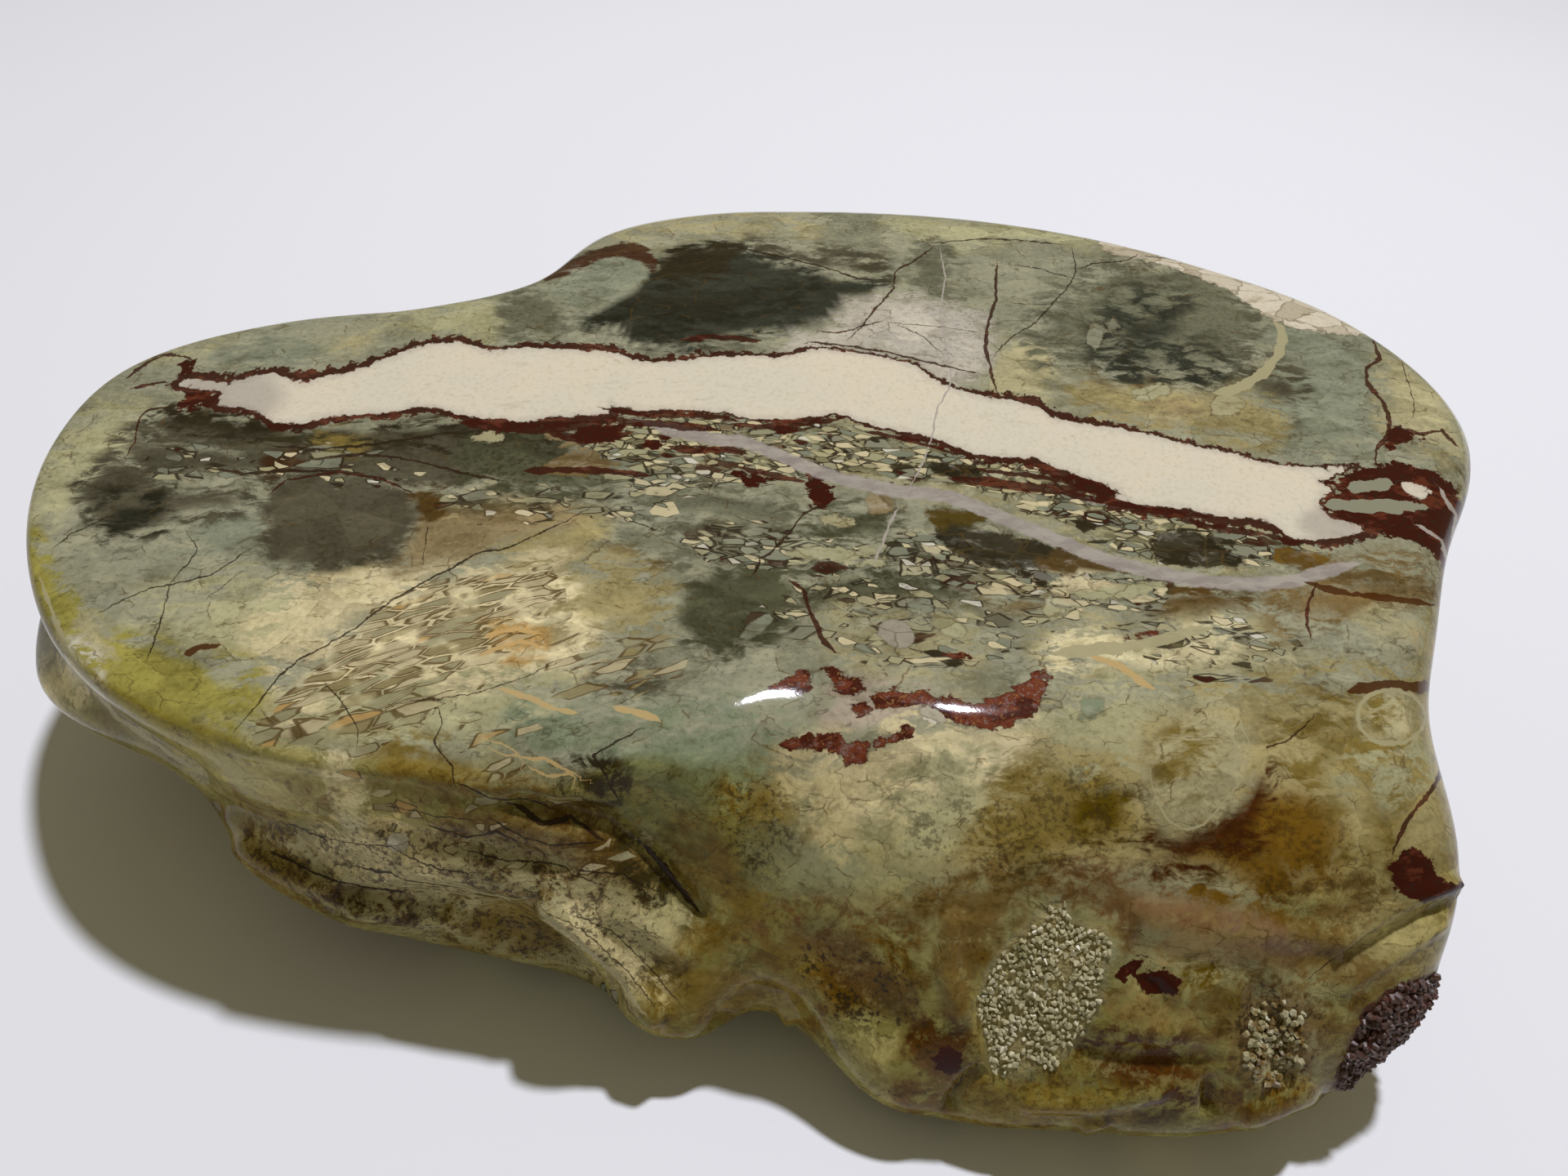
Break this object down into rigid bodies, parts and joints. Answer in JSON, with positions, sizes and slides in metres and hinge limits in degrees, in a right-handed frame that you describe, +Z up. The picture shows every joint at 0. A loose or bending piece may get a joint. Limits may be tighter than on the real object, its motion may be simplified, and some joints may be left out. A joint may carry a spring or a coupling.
{
  "type": "thunderegg",
  "caption": "Polished free-form agate and jasper slab with a gently leaning flat top, rounded front, cream seam across it and a natural crystal patch.",
  "frame": {"origin": "middle of the stone's outline from above, at its flat base", "axes": "+X along the stone's length, +Y away from the high rounded front, +Z up from the base"},
  "size_m": [0.2392, 0.1682, 0.0663],
  "materials": {
    "stone": null
  },
  "bodies": {
    "root": {"thunderegg": "stone"}
  },
  "joints": []
}
